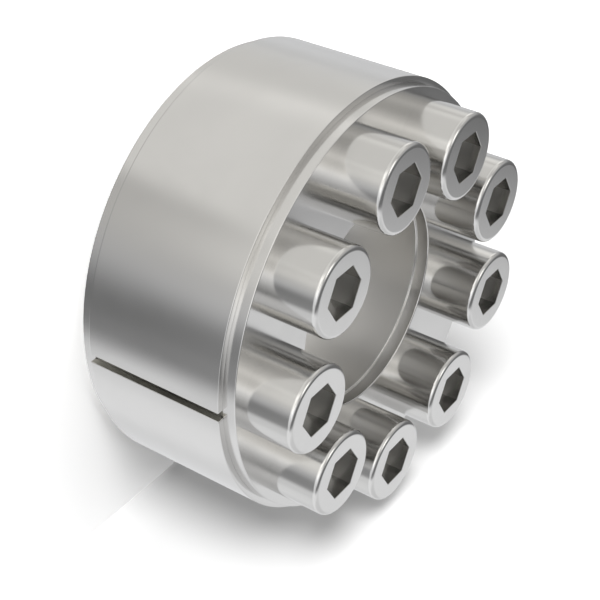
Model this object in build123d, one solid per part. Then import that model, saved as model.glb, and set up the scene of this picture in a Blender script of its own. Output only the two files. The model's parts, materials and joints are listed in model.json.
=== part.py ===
from build123d import *
import math
import os

# Shaft locking assembly: two tapered pressure rings are drawn together by a circle of socket head
# screws. They wedge a slit outer ring against a hub and squeeze a slit inner ring onto a shaft.
# Millimetres and degrees. +Z is the shaft axis, the origin is the middle of the rear face, the
# screw heads point up, and both slits face +X.

# What the assembly fits
shaft_d = 24.0           # bore of the inner ring
hub_d = 50.0             # outside of the outer ring
ring_length = 17.0       # outer and inner ring, along the shaft
collar_height = 1.5      # how far each pressure ring stands out of the outer ring

# Double tapers
taper_angle = 12.0       # each cone against the shaft axis
taper_play = 0.05        # radial play left between cones that seat on each other
outer_lip = 0.7          # wall of the outer ring at its ends
inner_lip = 0.2          # wall of the inner ring at its ends
throat_land = 1.0        # straight stretch in the middle of the outer and inner rings
tip_gap = 2.0            # space between the two pressure rings when the screws are tight

# Slits and edges
outer_slit = 1.0         # width of the cut through the outer ring
inner_slit = 1.0         # width of the cut through the inner ring
edge_break = 0.15        # bevel on the turned edges
bore_edge = 0.12         # bevel at the two ends of the shaft bore

# Socket head screws
screw_count = 9
thread_d = 6.0
screw_length = 18.0      # under the head
head_d = 9.8
head_height = 6.0
rim_bevel = 0.35         # at the top of the head
tip_chamfer = 0.6
socket_flats = 5.0       # across the flats of the key
socket_depth = 3.0
drill_point = 118.0      # cone at the bottom of the socket
clearance_hole_d = 6.6   # in the front pressure ring
hole_mouth = 0.3         # bevel where the tapped holes come out at the back
thread_play = 0.03       # radial play of the plain tapped hole about the plain screw shank

# Places that follow from the sizes above
shaft_r = shaft_d / 2
hub_r = hub_d / 2
taper_slope = math.tan(math.radians(taper_angle))
ring_bottom = collar_height
ring_top = ring_bottom + ring_length
middle = ring_bottom + ring_length / 2
overall_length = ring_top + collar_height
cone_run = (ring_length - throat_land) / 2
wedge_run = (ring_length - tip_gap) / 2
mouth_r = hub_r - outer_lip
nose_r = shaft_r + inner_lip
collar_r = mouth_r - taper_play
pressure_bore_r = nose_r + taper_play
screw_circle_r = (collar_r + pressure_bore_r) / 2
screw_angles = [i * 360 / screw_count for i in range(screw_count)]


def turned(points):
    """Solid of revolution about the shaft axis from a half section given as (radius, height)."""
    with BuildPart() as body:
        with BuildSketch(Plane.XZ):
            with BuildLine():
                Polyline(*points, close=True)
            make_face()
        revolve(axis=Axis.Z)
    return body.part


def circles_at(solid, radius):
    """The round edges of one radius about the shaft axis."""
    rims = solid.edges().filter_by(GeomType.CIRCLE)
    return rims.filter_by(lambda e: abs(e.radius - radius) < 1e-4 and abs(e.arc_center.X) < 1e-4)


def slit_cutter(from_r, to_r, width):
    """Thin block on the +X side that parts a ring from one end to the other."""
    length = to_r - from_r
    block = Box(length, width, overall_length)
    return Pos(from_r + length / 2, 0, overall_length / 2) * block


def outer_ring():
    """Round outside for the hub, two cones inside that narrow towards the middle, one slit."""
    throat_r = mouth_r - cone_run * taper_slope
    ring = turned([
        (hub_r, ring_bottom),
        (hub_r, ring_top),
        (mouth_r, ring_top),
        (throat_r, middle + throat_land / 2),
        (throat_r, middle - throat_land / 2),
        (mouth_r, ring_bottom),
    ])
    ring = chamfer(circles_at(ring, hub_r), edge_break)
    return ring - slit_cutter(throat_r - edge_break, hub_r + edge_break, outer_slit)


def inner_ring():
    """Shaft bore inside, two cones outside that widen towards the middle, one slit."""
    crest_r = nose_r + cone_run * taper_slope
    ring = turned([
        (shaft_r, ring_bottom),
        (shaft_r, ring_top),
        (nose_r, ring_top),
        (crest_r, middle + throat_land / 2),
        (crest_r, middle - throat_land / 2),
        (nose_r, ring_bottom),
    ])
    ring = chamfer(circles_at(ring, shaft_r), bore_edge)
    return ring - slit_cutter(shaft_r - edge_break, crest_r + edge_break, inner_slit)


def pressure_ring():
    """Collar on the floor, with the double wedge standing on it and narrowing upwards."""
    wedge_top = collar_height + wedge_run
    wedge_shift = wedge_run * taper_slope
    ring = turned([
        (collar_r, 0),
        (collar_r, collar_height),
        (collar_r - wedge_shift, wedge_top),
        (pressure_bore_r + wedge_shift, wedge_top),
        (pressure_bore_r, collar_height),
        (pressure_bore_r, 0),
    ])
    face_rims = circles_at(ring, collar_r) + circles_at(ring, pressure_bore_r)
    face_rims = face_rims.filter_by(lambda e: abs(e.arc_center.Z) < 1e-4)
    return chamfer(face_rims, edge_break)


def on_screw_circle(tool):
    """A copy of the tool on each screw axis, all turned the same way."""
    return [
        Pos(screw_circle_r * math.cos(math.radians(a)), screw_circle_r * math.sin(math.radians(a)), 0) * tool
        for a in screw_angles
    ]


def front_pressure_ring():
    """The ring under the heads, with plain holes that the screws pass through."""
    ring = Pos(0, 0, overall_length) * Rot(180, 0, 0) * pressure_ring()
    hole = Cylinder(clearance_hole_d / 2, overall_length, align=(Align.CENTER, Align.CENTER, Align.MIN))
    return ring - on_screw_circle(hole)


def rear_pressure_ring():
    """The ring that the screws pull on, with tapped holes right through, drawn plain."""
    hole_r = thread_d / 2 + thread_play
    hole = Cylinder(hole_r, overall_length, align=(Align.CENTER, Align.CENTER, Align.MIN))
    mouth = Cone(hole_r + hole_mouth, hole_r, hole_mouth, align=(Align.CENTER, Align.CENTER, Align.MIN))
    return pressure_ring() - on_screw_circle(hole) - on_screw_circle(mouth)


def socket_head_screw():
    """Round head with a bevelled rim and a key socket, on a shank with a bevelled tip."""
    shank = Cylinder(thread_d / 2, screw_length, align=(Align.CENTER, Align.CENTER, Align.MAX))
    shank = chamfer(shank.edges().group_by(Axis.Z)[0], tip_chamfer)
    head = Cylinder(head_d / 2, head_height, align=(Align.CENTER, Align.CENTER, Align.MIN))
    head = chamfer(head.edges().group_by(Axis.Z)[-1], rim_bevel)
    key = extrude(
        Plane.XY.offset(head_height) * RegularPolygon(socket_flats / 2, 6, major_radius=False, rotation=0),
        amount=-socket_depth,
    )
    point_depth = socket_flats / 2 / math.tan(math.radians(drill_point / 2))
    point = Cone(socket_flats / 2, 0, point_depth, align=(Align.CENTER, Align.CENTER, Align.MIN))
    point = Pos(0, 0, head_height - socket_depth) * Rot(180, 0, 0) * point
    return head + shank - key - point


def build():
    """Every piece at its place, by name."""
    pieces = {
        "rear_pressure_ring": rear_pressure_ring(),
        "outer_ring": outer_ring(),
        "inner_ring": inner_ring(),
        "front_pressure_ring": front_pressure_ring(),
    }
    screws = on_screw_circle(Pos(0, 0, overall_length) * socket_head_screw())
    for number, screw in enumerate(screws, start=1):
        pieces[f"screw_{number}"] = screw
    return pieces


os.makedirs("parts", exist_ok=True)
for name, piece in build().items():
    export_step(piece, f"parts/{name}.step")
    print(f"{name}: {piece.volume:.1f} mm3, {len(piece.faces())} faces")
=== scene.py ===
# %% [markdown]
# # A shaft locking assembly
# Nine screws pull two tapered rings together. The tapers squeeze a slit inner ring onto a shaft
# and push a slit outer ring against a hub, so the two turn as one without a key. The lesson
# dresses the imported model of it: rings and screws are drawn again with true edges, sockets and
# threads, and get a satin steel finish under soft studio light.

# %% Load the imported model
import json
import math

import bmesh
import bpy
from mathutils import Matrix, Vector

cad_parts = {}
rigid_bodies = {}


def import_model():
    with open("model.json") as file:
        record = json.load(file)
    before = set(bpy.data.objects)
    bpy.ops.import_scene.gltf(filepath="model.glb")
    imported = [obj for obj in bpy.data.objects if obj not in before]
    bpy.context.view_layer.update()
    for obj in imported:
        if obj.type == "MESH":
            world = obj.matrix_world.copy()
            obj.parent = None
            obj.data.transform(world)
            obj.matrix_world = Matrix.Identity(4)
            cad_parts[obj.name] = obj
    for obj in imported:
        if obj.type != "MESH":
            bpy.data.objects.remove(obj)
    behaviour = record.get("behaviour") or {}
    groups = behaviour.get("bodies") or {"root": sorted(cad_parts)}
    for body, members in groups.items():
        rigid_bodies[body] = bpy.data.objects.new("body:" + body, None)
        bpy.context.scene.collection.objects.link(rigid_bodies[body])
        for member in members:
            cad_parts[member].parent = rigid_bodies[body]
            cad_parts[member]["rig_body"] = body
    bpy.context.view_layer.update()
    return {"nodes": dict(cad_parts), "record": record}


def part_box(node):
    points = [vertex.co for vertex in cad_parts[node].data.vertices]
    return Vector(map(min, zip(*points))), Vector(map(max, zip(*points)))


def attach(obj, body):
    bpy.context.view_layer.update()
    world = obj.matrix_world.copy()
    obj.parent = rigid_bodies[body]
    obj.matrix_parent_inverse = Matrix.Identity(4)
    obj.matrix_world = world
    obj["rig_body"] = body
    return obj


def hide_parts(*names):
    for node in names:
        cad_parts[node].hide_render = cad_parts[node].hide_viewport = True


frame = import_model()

MM = 0.001

# %% [markdown]
# ## Sizes
# The model's boxes give every outside size. A box can't tell the taper, the lips or the slits,
# so those few are named here, in metres like everything in Blender. Here they are drawn with a
# hairline seam, because tight cones show no dark gap.

# %% Sizes read from the model
outer_low, outer_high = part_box("outer_ring")
front_low, front_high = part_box("front_pressure_ring")
rear_low, rear_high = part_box("rear_pressure_ring")
screw_low, screw_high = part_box("screw_1")

hub_r = outer_high.y
ring_bottom = outer_low.z
ring_top = outer_high.z
collar_r = front_high.y
front_face = front_high.z
wedge_tip = front_low.z
rear_wedge_tip = rear_high.z
head_top = screw_high.z
head_r = (screw_high.y - screw_low.y) / 2
screw_length = front_face - screw_low.z
screw_circle_r = (screw_high.x + screw_low.x) / 2
screw_names = [name for name in frame["nodes"] if name.startswith("screw_")]
screw_names.sort(key=lambda name: int(name.removeprefix("screw_")))
print("hub radius", round(hub_r / MM, 3), "screw circle", round(screw_circle_r / MM, 3))
print("screws", len(screw_names))

# %% Sizes that a box can't tell
bore = next(m for m in frame["record"]["mounts"] if m["name"] == "shaft_bore")
shaft_r = bore["dims"]["r_mm"] * MM
taper_angle = math.radians(12)
taper_slope = math.tan(taper_angle)
outer_lip = 0.7 * MM
inner_lip = 0.2 * MM
taper_play = hub_r - outer_lip - collar_r
pressure_bore_r = shaft_r + inner_lip + taper_play
throat_land = 1.0 * MM
slit_width = 1.0 * MM
seam = 0.006 * MM
mouth_r = collar_r + seam
nose_r = pressure_bore_r - seam
cone_run = (ring_top - ring_bottom - throat_land) / 2
print("play between the cones in mm:", round(taper_play / MM, 3))

# %% [markdown]
# ## Camera
# The camera stands where the photograph was taken from: near the screw heads, with the
# assembly lying on its side. Its numbers come from fitting the outlines of rings and screws to
# the photograph. The three vectors are the picture's right, up and towards the viewer, so the
# camera is turned in one step and the model itself is never moved.


# %% Camera
def linked(name, data):
    """A new object of the scene."""
    made = bpy.data.objects.new(name, data)
    bpy.context.scene.collection.objects.link(made)
    return made


camera_place = Vector((107.225, -91.44, 88.006)) * MM
picture_right = Vector((-0.5805, 0.0087, 0.8142)).normalized()
picture_up = Vector((-0.4793, -0.8120, -0.3330))
towards_viewer = picture_right.cross(picture_up).normalized()
picture_up = towards_viewer.cross(picture_right)
camera_data = bpy.data.cameras.new("photo_camera")
camera_data.sensor_width = 36
camera_data.lens = 85.4
camera_data.clip_start = 0.01
camera = linked("photo_camera", camera_data)
turn = Matrix((picture_right, picture_up, towards_viewer)).transposed().to_4x4()
camera.matrix_world = Matrix.Translation(camera_place) @ turn
bpy.context.scene.camera = camera
bpy.context.scene.view_settings.view_transform = "Standard"

# %% [markdown]
# ## Node helpers
# Shader trees, the world and geometry trees all take the same maths nodes. A few short helpers
# make a node and link or fill its inputs, so each tree below reads like a formula.


# %% Node helpers
def add_node(tree, kind, inputs=None, **settings):
    """A node of this kind. An input is a socket to link from or a plain value."""
    made = tree.nodes.new(kind)
    for name, value in settings.items():
        setattr(made, name, value)
    for key, value in (inputs or {}).items():
        if isinstance(value, bpy.types.NodeSocket):
            tree.links.new(value, made.inputs[key])
        else:
            made.inputs[key].default_value = value
    return made


def maths(tree, operation, *values, clamp=False):
    """The result of one maths node on sockets or numbers."""
    inputs = dict(enumerate(values))
    made = add_node(tree, "ShaderNodeMath", inputs, operation=operation, use_clamp=clamp)
    return made.outputs[0]


def smooth_step(tree, value, start, end, low, high):
    """Goes smoothly from low to high while value goes from start to end."""
    inputs = {0: value, 1: start, 2: end, 3: low, 4: high}
    return add_node(tree, "ShaderNodeMapRange", inputs, interpolation_type="SMOOTHSTEP").outputs[0]


def mixed(tree, factor, first, second, blend="MIX"):
    """Two colours mixed. A Mix node keeps its colours at inputs 6 and 7 and at output 2."""
    inputs = {0: factor, 6: first, 7: second}
    return add_node(tree, "ShaderNodeMix", inputs, data_type="RGBA", blend_type=blend).outputs[2]


def blended(tree, factor, first, second):
    """Two shaders blended. The factor is the share of the second one."""
    return add_node(tree, "ShaderNodeMixShader", {0: factor, 1: first, 2: second}).outputs[0]


def off_axis(tree, place):
    """How far a place, given by its X and Y sockets, lies from the Z axis."""
    squares = [maths(tree, "POWER", place[name], 2) for name in ("X", "Y")]
    return maths(tree, "SQRT", maths(tree, "ADD", *squares))


# %% [markdown]
# ## Studio
# Polished steel shows almost nothing of its own: its look is what it mirrors. The photograph's
# bands tell where the lights were. Seen from the part, the ground is pale up to about thirty
# degrees under the horizon, the horizon itself is dark, and the sky is grey, brighter overhead.
# Soft boxes of several widths stand round the part, and a few dark cards weaken the light
# between them. The world is built from those directions. The picture's paper white is shown
# to the camera alone, because in the photograph the steel doesn't mirror it. Paper gets only a
# faint even light from the world, so that its shade keeps its depth.

# %% Directions of the photograph's studio
studio_up = Vector((0, -1, 0))


def studio_direction(elevation, heading):
    """Unit vector at this elevation over the photograph's ground; heading 0 is +Z, 90 is -X."""
    e, h = math.radians(elevation), math.radians(heading)
    level = Vector((-math.sin(h), 0, math.cos(h)))
    return level * math.cos(e) + studio_up * math.sin(e)


print("up in the studio:", [round(v, 3) for v in studio_direction(90, 0)])

# %% World
world = bpy.data.worlds.new("studio")
bpy.context.scene.world = world
world.use_nodes = True
sky = world.node_tree
sky.nodes.clear()
direction = add_node(sky, "ShaderNodeTexCoord").outputs["Generated"]


def along(axis):
    """How far the direction of a ray points along this axis, from -1 to 1."""
    inputs = {0: direction, 1: axis}
    return add_node(sky, "ShaderNodeVectorMath", inputs, operation="DOT_PRODUCT").outputs["Value"]


def band(axis, elevations, low, high):
    """Goes from low to high between two elevations over the level of an axis, in degrees."""
    start, end = (math.sin(math.radians(elevation)) for elevation in elevations)
    return smooth_step(sky, along(axis), start, end, low, high)


# %% Ground and sky
GROUND = 0.96
HORIZON = 0.18
SKY_LOW = 0.53
SKY_HIGH = 0.84
GROUND_TILT = 0.04
ground_up = studio_up + GROUND_TILT * studio_direction(0, 60)
glow = band(ground_up, (-36.6, -24.2), GROUND, HORIZON)
low_sky = band(studio_up, (-9, 16), 0, SKY_LOW - HORIZON)
high_sky = band(studio_up, (38, 46), 0, SKY_HIGH - SKY_LOW)
glow = maths(sky, "ADD", maths(sky, "ADD", glow, low_sky), high_sky)
print("brightness from the ground up:", GROUND, HORIZON, SKY_LOW, SKY_HIGH)

# %% Soft boxes and dark cards
# A card has a negative strength.
# elevation, heading, bright core and outer edge in degrees from the middle, strength
SOFT_BOXES = [
    (33, -62, 14, 30, 0.46),
    (36, -98, 16, 30, 0.54),
    (-4, -78, 14, 34, 0.59),
    (9, -46, 10, 26, 0.50),
    (46, -38, 6, 20, 0.12),
    (27, 4, 7, 18, 1.2),
    (44, 56, 10, 24, 0.14),
    (28, 103, 6, 18, 0.48),
    (-16, 117, 12, 28, 0.50),
    (27, 130, 12, 30, 0.22),
    (-14, -102, 10, 24, 0.17),
    (9, -112, 3, 14, 0.18),
    (-22, -124, 3, 10, 0.06),
    (-36, -132, 4, 14, -0.13),
    (-52, 80, 12, 36, -0.08),
    (-66, 5, 14, 36, -0.20),
    (64, 30, 10, 30, -0.20),
    (-58, 152, 8, 26, -0.14),
]
for elevation, heading, core, edge, strength in SOFT_BOXES:
    facing = along(studio_direction(elevation, heading))
    cos_edge, cos_core = (math.cos(math.radians(angle)) for angle in (edge, core))
    glow = maths(sky, "ADD", glow, smooth_step(sky, facing, cos_edge, cos_core, 0, strength))
print("soft boxes and cards in the studio:", len(SOFT_BOXES))

# %% Colour of the light, and what each ray sees
COOL_LIGHT = (0.985, 0.993, 1.01, 1)
WARM_LIGHT = (1.0, 0.988, 0.96, 1)
WHITE = (1, 1, 1, 1)
FAINT_LIGHT = 0.085


def background(colour, strength):
    """One look of the world."""
    return add_node(sky, "ShaderNodeBackground", {"Color": colour, "Strength": strength}).outputs[0]


tint = mixed(sky, band(studio_up, (2, 30), 0, 1), COOL_LIGHT, WARM_LIGHT)
studio = background(mixed(sky, 1.0, glow, tint, "MULTIPLY"), 1.0)
rays = add_node(sky, "ShaderNodeLightPath").outputs
seen = blended(sky, rays["Is Diffuse Ray"], studio, background(WHITE, FAINT_LIGHT))
seen = blended(sky, rays["Is Camera Ray"], seen, background(WHITE, 1.0))
add_node(sky, "ShaderNodeOutputWorld", {"Surface": seen})
print("world nodes:", len(sky.nodes))

# %% [markdown]
# ## Ground and lamps
# The part stands on its rear face, on a pale floor. In the photograph it lies on its side, so
# its shadow falls on the ground beside the outer ring: a second sheet of white paper stands
# there as a backdrop and catches it. Seen from behind, that sheet is clear. Two lamps, placed
# by the shade in the photograph, light both sheets: the narrower one draws the dark middle of
# the shade and a very wide one its soft rim. They meet the floor at a slant, so its paper is
# given a stronger white. Near the floor the backdrop's white is raised, as painted light that
# lifts its shade, so that the fold between them shows less in the shade. Neither sheet nor
# lamp shows in the steel.


# %% Paper
OWN_LIGHT = 0.08
FLOOR_WHITE = 1.57
# white of the backdrop at the fold: painted light that lifts its shade there
FOLD_WHITE_WITH_PAINTED_LIGHT = 0.74
BACKDROP_WHITE = 0.66
fold_reach = 8 * MM


def empty_material(name):
    """A material with no nodes yet."""
    made = bpy.data.materials.new(name)
    made.use_nodes = True
    made.node_tree.nodes.clear()
    return made


def paper_material(name, low_white, high_white):
    """Paper that shows a shadow, clear from behind. Near the fold, painted light lifts its white."""
    made = empty_material(name)
    tree = made.node_tree
    place = add_node(tree, "ShaderNodeTexCoord").outputs["Object"]
    height = add_node(tree, "ShaderNodeSeparateXYZ", {0: place}).outputs["Z"]
    white_with_painted_fold_light = smooth_step(tree, height, 0, fold_reach, low_white, high_white)
    lit = add_node(tree, "ShaderNodeBsdfDiffuse", {"Color": white_with_painted_fold_light}).outputs[0]
    own = add_node(tree, "ShaderNodeEmission", {"Color": WHITE, "Strength": 1.0}).outputs[0]
    sheet = blended(tree, OWN_LIGHT, lit, own)
    clear = add_node(tree, "ShaderNodeBsdfTransparent").outputs[0]
    behind = add_node(tree, "ShaderNodeNewGeometry").outputs["Backfacing"]
    add_node(tree, "ShaderNodeOutputMaterial", {"Surface": blended(tree, behind, sheet, clear)})
    return made


def paper_sheet(name, corners, material):
    """One flat stage sheet, seen by the camera only."""
    mesh = bpy.data.meshes.new(name)
    mesh.from_pydata(corners, [], [range(len(corners))])
    mesh.materials.append(material)
    made = linked(name, mesh)
    made.visible_glossy = False
    made.visible_diffuse = False
    made.visible_shadow = False


paper_gap = 0.2 * MM
floor_z = -0.05 * MM
floor_half = 2.0
wall_half = 0.25
wall_y = hub_r + paper_gap
paper_sheet(
    "floor",
    [
        (-floor_half, -floor_half, floor_z), (floor_half, -floor_half, floor_z),
        (floor_half, floor_half, floor_z), (-floor_half, floor_half, floor_z),
    ],
    paper_material("floor_paper", FLOOR_WHITE, FLOOR_WHITE),
)
paper_sheet(
    "backdrop",
    [
        (-wall_half, wall_y, -paper_gap), (wall_half, wall_y, -paper_gap),
        (wall_half, wall_y, wall_half), (-wall_half, wall_y, wall_half),
    ],
    paper_material("backdrop_paper", FOLD_WHITE_WITH_PAINTED_LIGHT, BACKDROP_WHITE),
)
print("backdrop at y in mm:", round(wall_y / MM, 2))


# %% Lamps
def paper_lamp(name, comes_from, width_deg, share):
    """A wide far lamp that gives a sheet facing it this share of full white."""
    light = bpy.data.lights.new(name, "SUN")
    light.energy = math.pi * share
    light.angle = math.radians(width_deg)
    lamp = linked(name, light)
    lamp.rotation_mode = "QUATERNION"
    lamp.rotation_quaternion = comes_from.to_track_quat("Z", "Y")
    lamp.visible_glossy = False


paper_lamp("key_lamp", comes_from=studio_direction(67, -60), width_deg=32, share=1.26)
paper_lamp("fill_lamp", comes_from=studio_direction(41, 42), width_deg=95, share=0.74)
print("lamps:", [lamp.name for lamp in bpy.data.lights])

# %% [markdown]
# ## Turned profiles
# Every ring came off a lathe, so each is a half section spun round the axis. A section is
# listed by its corners, each with the small radius that the tool or a file leaves on it. The
# corners become arcs, and every point also keeps the outline's own outward direction, which
# the slit edges need later.


# %% Rounded outlines
ARC_STEPS = 5


def rounded(corners):
    """Closed outline with round corners, counterclockwise: (radius, height, outward r, outward z)."""
    outline = []
    for i, (r, z, rounding) in enumerate(corners):
        here = Vector((r, z))
        before = (Vector(corners[i - 1][:2]) - here).normalized()
        after = (Vector(corners[(i + 1) % len(corners)][:2]) - here).normalized()
        half = before.angle(after) / 2
        centre = here + (before + after).normalized() * (rounding / math.sin(half))
        first = Vector((-before.y, before.x))
        last = Vector((after.y, -after.x))
        reach = rounding if first.cross(last) > 0 else -rounding
        for step in range(ARC_STEPS + 1):
            outward = first.slerp(last, step / ARC_STEPS)
            point = centre + outward * reach
            outline.append((point.x, point.y, outward.x, outward.y))
    return outline


print("points in the arc of each corner:", ARC_STEPS + 1)

# %% [markdown]
# ## Rings
# Spinning a section is simple, but the slit has parallel walls, not walls that meet at the
# axis. So near the slit each section lies in a plane at a fixed distance from the middle of
# the slit: the first one is shrunk a little and the next ones grow, which rounds the slit's
# edges. After them the sections fan out evenly round the ring. No boolean is needed, and the
# mesh stays clean.

# %% Slit and whole rings
RING_STEPS = 288
SLIT_EDGE = 0.06 * MM
SLIT_EDGE_STEPS = 3


def quarter_turn(steps):
    """Angles from 0 to 90 degrees in equal steps."""
    return [math.radians(90 * step / steps) for step in range(steps + 1)]


def slit_sections(outline):
    """One list of points per section round a ring that is slit on its +X side."""
    near = []
    for bend in quarter_turn(SLIT_EDGE_STEPS):
        shrink = SLIT_EDGE * (1 - math.sin(bend))
        wall = slit_width / 2 + SLIT_EDGE * (1 - math.cos(bend))
        section = []
        for r, z, out_r, out_z in outline:
            rim = r - out_r * shrink
            section.append((math.sqrt(rim ** 2 - wall ** 2), wall, z - out_z * shrink))
        near.append(section)
    sections = list(near)
    wall = slit_width / 2 + SLIT_EDGE
    for step in range(1, RING_STEPS):
        section = []
        for r, z, out_r, out_z in outline:
            start = math.asin(wall / r)
            turn_by = start + (2 * math.pi - 2 * start) * step / RING_STEPS
            section.append((r * math.cos(turn_by), r * math.sin(turn_by), z))
        sections.append(section)
    mirrored = [[(x, -y, z) for x, y, z in section] for section in reversed(near)]
    return sections + mirrored


def whole_sections(outline):
    """One list of points per section round an unbroken ring."""
    angles = [2 * math.pi * step / RING_STEPS for step in range(RING_STEPS)]
    return [[(r * math.cos(a), r * math.sin(a), z) for r, z, out_r, out_z in outline] for a in angles]


def skin(name, sections, closed):
    """Mesh through the sections; an open run of sections gets a flat end at each side."""
    count = len(sections[0])
    points = [p for section in sections for p in section]
    faces = []
    runs = len(sections) if closed else len(sections) - 1
    for s in range(runs):
        a, b = s * count, (s + 1) % len(sections) * count
        for i in range(count):
            j = (i + 1) % count
            faces.append((a + i, b + i, b + j, a + j))
    if not closed:
        faces.append(tuple(range(count)))
        faces.append(tuple(reversed(range(len(points) - count, len(points)))))
    mesh = bpy.data.meshes.new(name)
    mesh.from_pydata(points, [], faces)
    return mesh


print("sections round a ring:", RING_STEPS)

# %% Outlines of the slit rings
outer_throat_r = mouth_r - cone_run * taper_slope
inner_crest_r = nose_r + cone_run * taper_slope
middle = (ring_bottom + ring_top) / 2
land_bottom = middle - throat_land / 2
land_top = middle + throat_land / 2
lip_round = 0.01 * MM
land_round = 0.4 * MM
hub_round = 0.15 * MM
hub_front_round = 0.08 * MM
shaft_round = 0.1 * MM
outer_outline = rounded([
    (hub_r, ring_bottom, hub_round),
    (hub_r, ring_top, hub_front_round),
    (mouth_r, ring_top, lip_round),
    (outer_throat_r, land_top, land_round),
    (outer_throat_r, land_bottom, land_round),
    (mouth_r, ring_bottom, lip_round),
])
inner_outline = rounded([
    (nose_r, ring_bottom, lip_round),
    (inner_crest_r, land_bottom, land_round),
    (inner_crest_r, land_top, land_round),
    (nose_r, ring_top, lip_round),
    (shaft_r, ring_top, shaft_round),
    (shaft_r, ring_bottom, shaft_round),
])
print("throat and crest in mm:", round(outer_throat_r / MM, 2), round(inner_crest_r / MM, 2))

# %% Outlines of the pressure rings, and all four skins
collar_round = 0.10 * MM
root_round = 0.05 * MM
tip_round = 0.25 * MM
bore_round = 0.14 * MM


def pressure_outline(face, collar_end, tip):
    """Half section of a pressure ring, from its outer face to the tip of its double wedge."""
    shift = abs(tip - collar_end) * taper_slope
    corners = [
        (collar_r, face, collar_round),
        (collar_r, collar_end, root_round),
        (collar_r - shift, tip, tip_round),
        (pressure_bore_r + shift, tip, tip_round),
        (pressure_bore_r, collar_end, root_round),
        (pressure_bore_r, face, bore_round),
    ]
    return rounded(corners if tip > face else corners[::-1])


front_outline = pressure_outline(front_face, ring_top, wedge_tip)
rear_outline = pressure_outline(0.0, ring_bottom, rear_wedge_tip)
ring_meshes = {
    "outer_ring": skin("outer_ring_skin", slit_sections(outer_outline), False),
    "inner_ring": skin("inner_ring_skin", slit_sections(inner_outline), False),
    "front_pressure_ring": skin("front_ring_skin", whole_sections(front_outline), True),
    "rear_pressure_ring": skin("rear_ring_skin", whole_sections(rear_outline), True),
}
print("ring faces:", {name: len(mesh.polygons) for name, mesh in ring_meshes.items()})

# %% [markdown]
# ## Thread
# An M6 thread follows a rule: go once round and climb one pitch. A flat grid is bent by that
# rule in Geometry Nodes. Its long side runs along the helix, its short side has five lines:
# two at the root, two at the crest and one where the next turn starts, which is merged with
# that turn. Heights past either end are held at the end, so the spiral closes into a plain
# circle there. The same tree gives the screw's thread and the cutter for the tapped holes.

# %% Geometry tree of the thread
ROUND_STEPS = 96
# climb in pitches of the lines across one turn, and 1 for those on the crest
LINE_CLIMB = (0.0, 0.25, 0.5625, 0.6875, 1.0)
LINE_AT_CREST = (0.0, 0.0, 1.0, 1.0, 0.0)
merge_reach = 0.0005 * MM


def add_input(tree, name, kind, value):
    """A named input of a tree with its first value."""
    made = tree.interface.new_socket(name, in_out="INPUT", socket_type=kind)
    made.default_value = value


def chosen(tree, index, values):
    """The value that belongs to an index."""
    switch = add_node(tree, "GeometryNodeIndexSwitch", data_type="FLOAT")
    while len(switch.index_switch_items) < len(values):
        switch.index_switch_items.new()
    tree.links.new(index, switch.inputs["Index"])
    for number, value in enumerate(values):
        switch.inputs[number + 1].default_value = value
    return switch.outputs[0]


def thread_tree():
    """Tree that makes one thread by rule from its named sizes."""
    tree = bpy.data.node_groups.new("thread_by_rule", "GeometryNodeTree")
    for name in ("Crest radius", "Depth", "Pitch", "Bottom", "Top", "Tip radius", "Mouth radius"):
        add_input(tree, name, "NodeSocketFloat", 0.0)
    add_input(tree, "Turns", "NodeSocketInt", 1)
    tree.interface.new_socket("Mesh", in_out="OUTPUT", socket_type="NodeSocketGeometry")
    given = add_node(tree, "NodeGroupInput").outputs
    along_steps = maths(tree, "ADD", maths(tree, "MULTIPLY", given["Turns"], ROUND_STEPS), 1)
    grid = add_node(tree, "GeometryNodeMeshGrid", {
        "Size X": 1.0, "Size Y": 1.0, "Vertices X": along_steps, "Vertices Y": len(LINE_CLIMB),
    }).outputs["Mesh"]
    position = add_node(tree, "GeometryNodeInputPosition").outputs[0]
    place = add_node(tree, "ShaderNodeSeparateXYZ", {0: position}).outputs
    turned_by = maths(tree, "MULTIPLY", maths(tree, "ADD", place["X"], 0.5), given["Turns"])
    across = maths(tree, "MULTIPLY", maths(tree, "ADD", place["Y"], 0.5), len(LINE_CLIMB) - 1)
    line = maths(tree, "ROUND", across)
    climb = chosen(tree, line, LINE_CLIMB)
    at_crest = chosen(tree, line, LINE_AT_CREST)
    pitches_up = maths(tree, "ADD", turned_by, maths(tree, "SUBTRACT", climb, 1))
    level = maths(tree, "MULTIPLY", pitches_up, given["Pitch"])
    level = maths(tree, "ADD", level, given["Bottom"])
    level = maths(tree, "MINIMUM", maths(tree, "MAXIMUM", level, given["Bottom"]), given["Top"])
    below_top = maths(tree, "SUBTRACT", given["Top"], level)
    run_out = maths(tree, "DIVIDE", below_top, given["Pitch"], clamp=True)
    sunk = maths(tree, "MULTIPLY", given["Depth"], maths(tree, "SUBTRACT", 1, at_crest))
    sunk = maths(tree, "MULTIPLY", sunk, run_out)
    from_end = maths(tree, "SUBTRACT", level, given["Bottom"])
    radius = maths(tree, "SUBTRACT", given["Crest radius"], sunk)
    radius = maths(tree, "MINIMUM", radius, maths(tree, "ADD", given["Tip radius"], from_end))
    radius = maths(tree, "MAXIMUM", radius, maths(tree, "SUBTRACT", given["Mouth radius"], from_end))
    angle = maths(tree, "MULTIPLY", turned_by, 2 * math.pi)
    spot = add_node(tree, "ShaderNodeCombineXYZ", {
        "X": maths(tree, "MULTIPLY", radius, maths(tree, "COSINE", angle)),
        "Y": maths(tree, "MULTIPLY", radius, maths(tree, "SINE", angle)),
        "Z": level,
    }).outputs[0]
    bent = add_node(tree, "GeometryNodeSetPosition", {"Geometry": grid, "Position": spot}).outputs[0]
    inputs = {"Geometry": bent, "Distance": merge_reach}
    joined = add_node(tree, "GeometryNodeMergeByDistance", inputs).outputs[0]
    add_node(tree, "NodeGroupOutput", {"Mesh": joined})
    return tree


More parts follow.
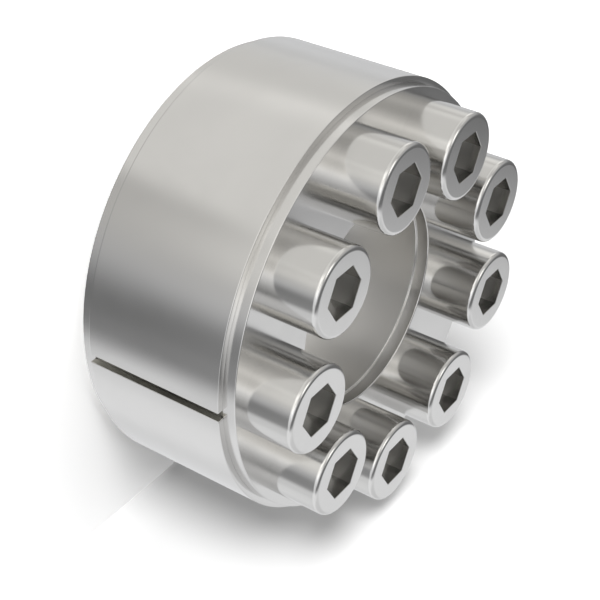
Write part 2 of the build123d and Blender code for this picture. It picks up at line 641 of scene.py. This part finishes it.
def evaluated_mesh(holder):
    """The mesh that an object has after its modifiers. The object itself is removed."""
    bpy.context.view_layer.update()
    evaluated = holder.evaluated_get(bpy.context.evaluated_depsgraph_get())
    mesh = bpy.data.meshes.new_from_object(evaluated)
    bpy.data.objects.remove(holder)
    return mesh


def grown(tree, base, sizes):
    """Plain mesh of a tree on a base mesh; sizes are set by the inputs' identifiers."""
    holder = linked(tree.name, base)
    modifier = holder.modifiers.new("grow", "NODES")
    modifier.node_group = tree
    inputs = [item for item in tree.interface.items_tree if item.in_out == "INPUT"]
    identifiers = {item.name: item.identifier for item in inputs}
    for name, value in sizes.items():
        modifier[identifiers[name]] = value
    return evaluated_mesh(holder)


# %% Thread of the screws
# A metric thread is 0.6134 pitches deep.
PITCH = 1.0 * MM
thread_r = 3.0 * MM
thread_depth = 0.6134 * PITCH
thread_top = -2.0 * MM
tip_chamfer = 0.75 * MM
thread = thread_tree()
screw_thread = grown(thread, bpy.data.meshes.new("screw_thread"), {
    "Crest radius": thread_r,
    "Depth": thread_depth,
    "Pitch": PITCH,
    "Bottom": -screw_length,
    "Top": thread_top,
    "Tip radius": thread_r - tip_chamfer,
    "Turns": math.ceil((thread_top + screw_length) / PITCH) + 1,
})
print("thread faces:", len(screw_thread.polygons))

# %% [markdown]
# ## Screw
# The head is a stack of rings of points, one above the other: round under the head and at the
# rim, six-sided in the socket. All rings have the same number of points, so the skin between a
# circle and a hexagon is one band of clean faces. The stack starts on the thread's last circle
# and is merged with it.

# %% One socket head screw
rim_round = 0.50 * MM
face_edge = 0.06 * MM
socket_half = 2.5 * MM
socket_edge = 0.05 * MM
socket_depth = 3.0 * MM
RIM_STEPS = 8
neck = 0.2 * MM
NECK_STEPS = 3
drill_r = 0.98 * socket_half
drill_point = math.radians(118)


def circle_ring(r, z):
    """Points of a round ring."""
    angles = [2 * math.pi * i / ROUND_STEPS for i in range(ROUND_STEPS)]
    return [(r * math.cos(a), r * math.sin(a), z) for a in angles]


def hexagon_ring(half, z):
    """Points of a six-sided ring, with a corner on +X."""
    points = []
    for i in range(ROUND_STEPS):
        a = 2 * math.pi * i / ROUND_STEPS
        from_flat = a % (math.pi / 3) - math.pi / 6
        r = half / math.cos(from_flat)
        points.append((r * math.cos(a), r * math.sin(a), z))
    return points


def screw_mesh():
    """The whole screw at the origin, with the underside of its head at height 0."""
    head_height = head_top - front_face
    floor = head_height - socket_depth
    rings = [circle_ring(thread_r, thread_top)]
    for bend in quarter_turn(NECK_STEPS):
        neck_r = thread_r + neck * (1 - math.cos(bend))
        rings.append(circle_ring(neck_r, -neck + neck * math.sin(bend)))
    rings.append(circle_ring(head_r, 0))
    for bend in quarter_turn(RIM_STEPS):
        rim_r = head_r - rim_round * (1 - math.cos(bend))
        rings.append(circle_ring(rim_r, head_height - rim_round * (1 - math.sin(bend))))
    rings.append(circle_ring(head_r - rim_round - face_edge, head_height))
    rings.append(hexagon_ring(socket_half + socket_edge, head_height))
    rings.append(hexagon_ring(socket_half, head_height - socket_edge))
    rings.append(hexagon_ring(socket_half, floor))
    rings.append(circle_ring(drill_r, floor))
    mesh = bpy.data.meshes.new("screw")
    work = bmesh.new()
    work.from_mesh(screw_thread)
    levels = [[work.verts.new(p) for p in ring] for ring in rings]
    for low, high in zip(levels, levels[1:]):
        for i in range(ROUND_STEPS):
            j = (i + 1) % ROUND_STEPS
            work.faces.new((low[i], low[j], high[j], high[i]))
    point = work.verts.new((0, 0, floor - drill_r / math.tan(drill_point / 2)))
    last = levels[-1]
    for i in range(ROUND_STEPS):
        work.faces.new((last[i], last[(i + 1) % ROUND_STEPS], point))
    bmesh.ops.remove_doubles(work, verts=work.verts, dist=merge_reach)
    open_edges = [e for e in work.edges if e.is_boundary]
    bmesh.ops.contextual_create(work, geom=open_edges)
    bmesh.ops.recalc_face_normals(work, faces=work.faces)
    print("screw: faces", len(work.faces), "open edges", sum(not e.is_manifold for e in work.edges))
    work.to_mesh(mesh)
    work.free()
    return mesh


one_screw = screw_mesh()

# %% [markdown]
# ## Screw circle
# Screws, plain holes and tapped holes all sit on one circle. One tree sets copies of a mesh on
# it, none of them turned, because in the photograph all nine sockets face the same way. With
# its Only input it keeps a single copy, since each screw is a body of its own that turns about
# its own axis. It also stores each point's place in the screw's own frame, for the finish.


# %% Geometry tree of the screw circle
ALL_SCREWS = -1
OWN_PLACE = "own_place"


def circle_tree():
    """Tree that sets copies of a mesh on the screw circle."""
    tree = bpy.data.node_groups.new("screw_circle", "GeometryNodeTree")
    tree.interface.new_socket("Mesh", in_out="INPUT", socket_type="NodeSocketGeometry")
    add_input(tree, "Screws", "NodeSocketInt", len(screw_names))
    add_input(tree, "Circle radius", "NodeSocketFloat", 0.0)
    add_input(tree, "Height", "NodeSocketFloat", 0.0)
    add_input(tree, "Only", "NodeSocketInt", ALL_SCREWS)
    add_input(tree, "Socket radius", "NodeSocketFloat", 0.0)
    for name in ("Finish", "Socket painted shade"):
        tree.interface.new_socket(name, in_out="INPUT", socket_type="NodeSocketMaterial")
    tree.interface.new_socket("Mesh", in_out="OUTPUT", socket_type="NodeSocketGeometry")
    given = add_node(tree, "NodeGroupInput").outputs
    place = add_node(tree, "GeometryNodeInputPosition").outputs[0]
    kept = add_node(
        tree, "GeometryNodeStoreNamedAttribute",
        {"Geometry": given["Mesh"], "Name": OWN_PLACE, "Value": place},
        data_type="FLOAT_VECTOR", domain="POINT",
    ).outputs[0]
    inputs = {"Vertices": given["Screws"], "Radius": given["Circle radius"]}
    circle = add_node(tree, "GeometryNodeMeshCircle", inputs).outputs[0]
    number = add_node(tree, "GeometryNodeInputIndex").outputs[0]
    is_it = maths(tree, "COMPARE", number, given["Only"], 0.5)
    all_of_them = maths(tree, "LESS_THAN", given["Only"], 0)
    wanted = maths(tree, "MAXIMUM", is_it, all_of_them)
    inputs = {"Points": circle, "Instance": kept, "Selection": wanted}
    copies = add_node(tree, "GeometryNodeInstanceOnPoints", inputs).outputs[0]
    up = add_node(tree, "ShaderNodeCombineXYZ", {"Z": given["Height"]}).outputs[0]
    inputs = {"Instances": copies, "Translation": up}
    lifted = add_node(tree, "GeometryNodeTranslateInstances", inputs).outputs[0]
    solid = add_node(tree, "GeometryNodeRealizeInstances", {"Geometry": lifted}).outputs[0]
    inputs = {"Geometry": solid, "Material": given["Finish"]}
    dressed = add_node(tree, "GeometryNodeSetMaterial", inputs).outputs[0]
    inputs = {"Name": OWN_PLACE}
    own = add_node(tree, "GeometryNodeInputNamedAttribute", inputs, data_type="FLOAT_VECTOR").outputs[0]
    own = add_node(tree, "ShaderNodeSeparateXYZ", {0: own}).outputs
    # faces inside the socket get a darker steel: painted shade in the hollow
    near_axis = maths(tree, "LESS_THAN", off_axis(tree, own), given["Socket radius"])
    in_head = maths(tree, "GREATER_THAN", own["Z"], 0)
    in_socket = maths(tree, "MULTIPLY", near_axis, in_head)
    inputs = {"Geometry": dressed, "Material": given["Socket painted shade"], "Selection": in_socket}
    dressed = add_node(tree, "GeometryNodeSetMaterial", inputs).outputs[0]
    add_node(tree, "NodeGroupOutput", {"Mesh": dressed})
    return tree


screw_circle = circle_tree()
print("trees:", [g.name for g in bpy.data.node_groups])

# %% [markdown]
# ## Holes
# The front ring has plain holes and the rear ring has tapped ones. Their cutters are set on
# the screw circle and taken out of the rings with a boolean. The tapped cutter is the same
# thread, a little larger than the screw's, and it flares where it leaves the rear face.

# %% Cutters
thread_play = 0.04 * MM
clearance_r = 3.3 * MM
mouth_bevel = 0.3 * MM
overshoot = 0.3 * MM
flare = 0.15 * MM


def closed_mesh(mesh):
    """Fills the open rims of a mesh and turns its faces outwards."""
    work = bmesh.new()
    work.from_mesh(mesh)
    bmesh.ops.remove_doubles(work, verts=work.verts, dist=merge_reach)
    bmesh.ops.holes_fill(work, edges=[e for e in work.edges if e.is_boundary])
    bmesh.ops.recalc_face_normals(work, faces=work.faces)
    open_edges = sum(not e.is_manifold for e in work.edges)
    work.to_mesh(mesh)
    work.free()
    print(mesh.name, "faces", len(mesh.polygons), "open edges", open_edges)
    return mesh


tap_r = thread_r + thread_play
tap_bottom = screw_low.z - PITCH * math.ceil((screw_low.z + overshoot) / PITCH)
tap_top = rear_wedge_tip + PITCH + overshoot
tap = closed_mesh(grown(thread, bpy.data.meshes.new("tap"), {
    "Crest radius": tap_r,
    "Depth": thread_depth,
    "Pitch": PITCH,
    "Bottom": tap_bottom,
    "Top": tap_top,
    "Tip radius": hub_r,
    "Mouth radius": tap_r + mouth_bevel - tap_bottom,
    "Turns": math.ceil((tap_top - tap_bottom) / PITCH) + 1,
}))


def drill_mesh():
    """Plain cutter for the front ring, with a small flare under the head."""
    levels = [
        circle_ring(clearance_r, wedge_tip - overshoot),
        circle_ring(clearance_r, front_face - flare),
        circle_ring(clearance_r + flare + overshoot, front_face + overshoot),
    ]
    points = [p for level in levels for p in level]
    faces = []
    for level in range(len(levels) - 1):
        for i in range(ROUND_STEPS):
            a, b = level * ROUND_STEPS, (i + 1) % ROUND_STEPS
            faces.append((a + i, a + b, a + ROUND_STEPS + b, a + ROUND_STEPS + i))
    mesh = bpy.data.meshes.new("drill")
    mesh.from_pydata(points, [], faces)
    return closed_mesh(mesh)


drill = drill_mesh()


# %% Cut the rings
def with_holes(ring_mesh, tool):
    """The ring with the tool taken out on every screw axis."""
    cutter = linked("cutter", grown(screw_circle, tool, {
        "Screws": len(screw_names),
        "Circle radius": screw_circle_r,
        "Only": ALL_SCREWS,
    }))
    ring = linked("ring", ring_mesh)
    cut = ring.modifiers.new("holes", "BOOLEAN")
    cut.object = cutter
    cut.solver = "MANIFOLD"
    mesh = evaluated_mesh(ring)
    bpy.data.objects.remove(cutter)
    return mesh


for ring_name, tool in (("front_pressure_ring", drill), ("rear_pressure_ring", tap)):
    ring_meshes[ring_name] = with_holes(ring_meshes[ring_name], tool)
print("faces after the cuts:", {name: len(mesh.polygons) for name, mesh in ring_meshes.items()})

# %% [markdown]
# ## Finish
# Turned steel carries fine marks that run round the axis, so they depend on the distance from
# the axis and on the height, never on the angle. One group makes them. A second one makes the
# faint cloudy patches that handling leaves. Both give only values, and each finish below feeds
# them into its own shader with its own numbers. The rings are bright outside, darker on the
# cones, duller in the shaft bore and dullest where a saw cut the slit. The side of a screw head
# is a little darker than its top, as painted shade. Its broached socket is darker still, as
# painted shade in the hollow. The drilled bottom of the socket is dull, and it is pale as
# painted light that the socket walls mirror.


# %% Shared effects
def new_group(name, inputs, outputs):
    """Empty shader group with named sockets, and its inner inputs."""
    tree = bpy.data.node_groups.new(name, "ShaderNodeTree")
    for socket_name, kind in inputs:
        tree.interface.new_socket(socket_name, in_out="INPUT", socket_type=kind)
    for socket_name, kind in outputs:
        tree.interface.new_socket(socket_name, in_out="OUTPUT", socket_type=kind)
    return tree, add_node(tree, "NodeGroupInput").outputs


def turning_marks():
    """Group: fine rings round the axis, as a value about 0.5."""
    tree, given = new_group(
        "turning_marks",
        [("Place", "NodeSocketVector"), ("Spacing", "NodeSocketFloat"), ("Seed", "NodeSocketFloat")],
        [("Marks", "NodeSocketFloat")],
    )
    place = add_node(tree, "ShaderNodeSeparateXYZ", {0: given["Place"]}).outputs
    spot = add_node(tree, "ShaderNodeCombineXYZ", {
        "X": maths(tree, "DIVIDE", off_axis(tree, place), given["Spacing"]),
        "Y": maths(tree, "DIVIDE", place["Z"], given["Spacing"]),
        "Z": given["Seed"],
    }).outputs[0]
    inputs = {"Vector": spot, "Scale": 1.0, "Detail": 2.0, "Roughness": 0.6}
    grain = add_node(tree, "ShaderNodeTexNoise", inputs).outputs[0]
    add_node(tree, "NodeGroupOutput", {"Marks": grain})
    return tree


def handling():
    """Group: large soft patches, as a value about 0.5."""
    tree, given = new_group(
        "handling",
        [("Place", "NodeSocketVector"), ("Size", "NodeSocketFloat")],
        [("Patches", "NodeSocketFloat")],
    )
    inputs = {0: given["Place"], "Scale": maths(tree, "DIVIDE", 1, given["Size"])}
    spot = add_node(tree, "ShaderNodeVectorMath", inputs, operation="SCALE").outputs[0]
    inputs = {"Vector": spot, "Scale": 1.0, "Detail": 4.0, "Roughness": 0.55, "Distortion": 0.4}
    cloud = add_node(tree, "ShaderNodeTexNoise", inputs).outputs[0]
    add_node(tree, "NodeGroupOutput", {"Patches": cloud})
    return tree


marks_group = turning_marks()
handling_group = handling()
print("shared effects:", [marks_group.name, handling_group.name])


# %% Steel
MARKS_SEED = 3.0
MARKS_IN_GLOSS = 0.05
MARKS_IN_BUMP = 0.35
POLISHED_BY = -0.02
DULLED_BY = 0.03
HANDLED_TONE = 0.965
patch_size = 9 * MM


def steel(name, colour, roughness, marks_kind, place_from):
    """Satin steel: turning marks in the bump and the roughness, handling in both gloss and tone."""
    spacing, mark_depth = marks_kind
    made = empty_material(name)
    tree = made.node_tree
    if place_from == OWN_PLACE:
        place = add_node(tree, "ShaderNodeAttribute", attribute_name=OWN_PLACE).outputs["Vector"]
    else:
        place = add_node(tree, "ShaderNodeTexCoord").outputs[place_from]
    inputs = {"Place": place, "Spacing": spacing, "Seed": MARKS_SEED}
    marks = add_node(tree, "ShaderNodeGroup", inputs, node_tree=marks_group).outputs[0]
    inputs = {"Place": place, "Size": patch_size}
    patches = add_node(tree, "ShaderNodeGroup", inputs, node_tree=handling_group).outputs[0]
    dull = maths(tree, "ADD", smooth_step(tree, patches, 0.35, 0.7, POLISHED_BY, DULLED_BY), roughness)
    from_middle = maths(tree, "SUBTRACT", marks, 0.5)
    dull = maths(tree, "ADD", dull, maths(tree, "MULTIPLY", from_middle, MARKS_IN_GLOSS))
    tone = smooth_step(tree, patches, 0.3, 0.75, 1.0, HANDLED_TONE)
    inputs = {"Height": marks, "Strength": MARKS_IN_BUMP, "Distance": mark_depth}
    surface = add_node(tree, "ShaderNodeBsdfPrincipled", {
        "Base Color": mixed(tree, 1.0, colour, tone, "MULTIPLY"),
        "Metallic": 1.0,
        "Roughness": dull,
        "Normal": add_node(tree, "ShaderNodeBump", inputs).outputs[0],
    }).outputs[0]
    add_node(tree, "ShaderNodeOutputMaterial", {"Surface": surface})
    return made


# %% The finishes
# Each kind of marks has a spacing and a depth.
RING_MARKS = (0.05 * MM, 0.00012 * MM)
CONE_MARKS = (0.08 * MM, 0.0006 * MM)
HEAD_MARKS = (0.04 * MM, 0.00006 * MM)
SOCKET_MARKS = (0.08 * MM, 0.0003 * MM)
ring_steel = steel("ring_steel", (0.71, 0.703, 0.69, 1), 0.18, RING_MARKS, "Object")
bore_steel = steel("bore_steel", (0.69, 0.68, 0.66, 1), 0.33, RING_MARKS, "Object")
cone_steel = steel("cone_steel", (0.55, 0.545, 0.525, 1), 0.30, CONE_MARKS, "Object")
slit_steel = steel("slit_steel", (0.54, 0.53, 0.49, 1), 0.48, RING_MARKS, "Object")
screw_steel = steel("screw_steel", (0.72, 0.713, 0.70, 1), 0.18, HEAD_MARKS, OWN_PLACE)
# side of a head: a darker copy of the head's steel, painted shade
side_painted_shade_steel = steel("head_side_painted_shade_steel", (0.64, 0.634, 0.62, 1), 0.18, HEAD_MARKS, OWN_PLACE)
# key socket: a darker steel, painted shade in its hollow
socket_painted_shade_steel = steel("socket_painted_shade_steel", (0.53, 0.525, 0.51, 1), 0.19, SOCKET_MARKS, OWN_PLACE)
# drilled bottom of a socket: dull like drilled steel, and pale as painted light for the walls
drilled_painted_light_steel = steel("drilled_painted_light_steel", (0.88, 0.87, 0.85, 1), 0.50, SOCKET_MARKS, OWN_PLACE)
print("finishes:", [made.name for made in bpy.data.materials if made.name.endswith("steel")])

# %% [markdown]
# ## Pieces
# Each new mesh takes the place of one node of the model and rides on that node's body, so it
# moves with it at every pose. Faces that meet at a flat angle are shaded smooth, and weighted
# normals keep the large flat faces flat right up to their rounded edges. Which finish a face
# gets follows from where it lies, because every face was made from the sizes above.

# %% Smooth shading
SHARP = math.radians(32)


def weighted(mesh):
    """The mesh with smooth faces, sharp creases and normals led by the larger faces."""
    mesh.shade_smooth()
    mesh.set_sharp_from_angle(angle=SHARP)
    holder = linked("holder", mesh)
    holder.modifiers.new("even", "WEIGHTED_NORMAL").keep_sharp = True
    return evaluated_mesh(holder)


print("creases stay sharp from degrees:", round(math.degrees(SHARP)))

# %% Finish of each face
# A sawn face of the slit looks along Y at least this squarely.
SQUARELY = 0.99
# just past the corners of the six-sided socket
socket_reach = 1.16 * socket_half


def finish_ring(mesh):
    """Gives their own finish to the cones, the shaft bore and the sawn faces of a slit."""
    finishes = [ring_steel, cone_steel, bore_steel, slit_steel]
    mesh.materials.clear()
    for finish in finishes:
        mesh.materials.append(finish)
    for face in mesh.polygons:
        finish = ring_steel
        depth = min(face.center.z - ring_bottom, ring_top - face.center.z, cone_run)
        from_axis = math.hypot(face.center.x, face.center.y)
        off_outer = abs(from_axis - collar_r + depth * taper_slope)
        off_inner = abs(from_axis - pressure_bore_r - depth * taper_slope)
        if depth > seam and min(off_outer, off_inner) < taper_play:
            finish = cone_steel
        if from_axis < shaft_r + seam:
            finish = bore_steel
        off_slit = abs(abs(face.center.y) - slit_width / 2)
        if face.center.x > 0 and off_slit < seam and abs(face.normal.y) > SQUARELY:
            finish = slit_steel
        face.material_index = finishes.index(finish)


def finish_screw(mesh):
    """Gives the head's side a painted shade and the socket's drilled bottom a painted light."""
    side = len(mesh.materials)
    drilled = side + 1
    mesh.materials.append(side_painted_shade_steel)
    mesh.materials.append(drilled_painted_light_steel)
    for face in mesh.polygons:
        here = mesh.materials[face.material_index]
        # the drilled bottom gets a pale steel: painted light that the socket walls mirror
        if here == socket_painted_shade_steel and face.center.z < head_top - socket_depth + seam:
            face.material_index = drilled
        # the side of the head takes the darker steel: painted shade
        elif here == screw_steel and front_face + seam < face.center.z < head_top - rim_round:
            face.material_index = side


print("reach of the socket finish in mm:", round(socket_reach / MM, 2))

# %% Put the pieces in place
def seat(node_name, mesh):
    """Puts a finished mesh in the place of a node of the model."""
    piece = linked(node_name + "_steel", mesh)
    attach(piece, frame["nodes"][node_name]["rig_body"])
    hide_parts(node_name)


for ring_name, ring_mesh in ring_meshes.items():
    finish_ring(ring_mesh)
    seat(ring_name, weighted(ring_mesh))
for number, screw_name in enumerate(screw_names):
    placed = grown(screw_circle, one_screw, {
        "Screws": len(screw_names),
        "Circle radius": screw_circle_r,
        "Height": front_face,
        "Only": number,
        "Socket radius": socket_reach,
        "Finish": screw_steel,
        "Socket painted shade": socket_painted_shade_steel,
    })
    finish_screw(placed)
    seat(screw_name, weighted(placed))
print("pieces:", len(ring_meshes) + len(screw_names))
